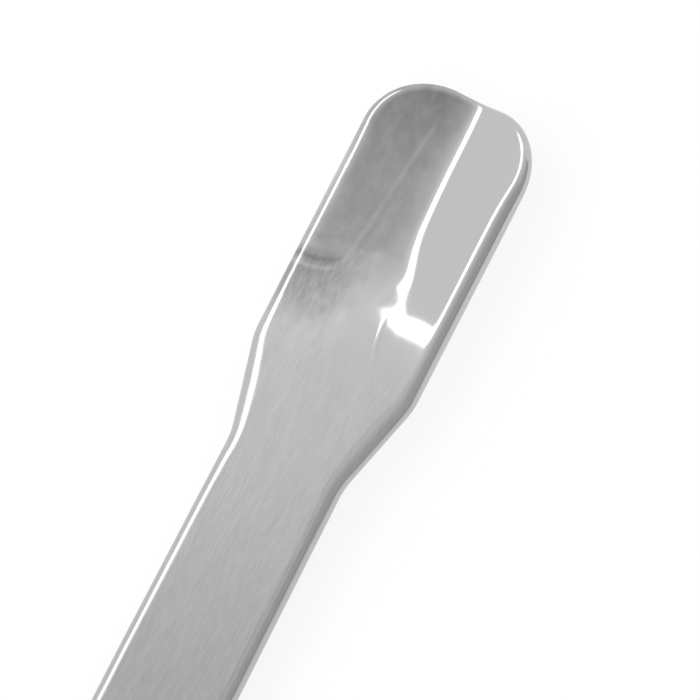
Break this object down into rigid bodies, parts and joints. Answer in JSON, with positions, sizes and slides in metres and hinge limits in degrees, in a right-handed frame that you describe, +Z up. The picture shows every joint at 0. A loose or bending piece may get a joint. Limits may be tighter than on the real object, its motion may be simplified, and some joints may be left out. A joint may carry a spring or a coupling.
{
  "type": "lab spatula",
  "caption": "Flat steel lab spatula: a strip handle with rounded edges that widens through a taper into a round-tipped, V-shaped trough for scooping powder.",
  "frame": {"origin": "bottom centre of the bounding box, with the spatula lying as it rests, trough upwards", "axes": "+Y along the spatula towards the tip of the trough, +X across it to the right, +Z up"},
  "size_m": [0.011, 0.15, 0.0033],
  "materials": {
    "steel": "satin along the handle, polished inside the trough"
  },
  "bodies": {
    "root": {"spatula": "steel"}
  },
  "joints": []
}
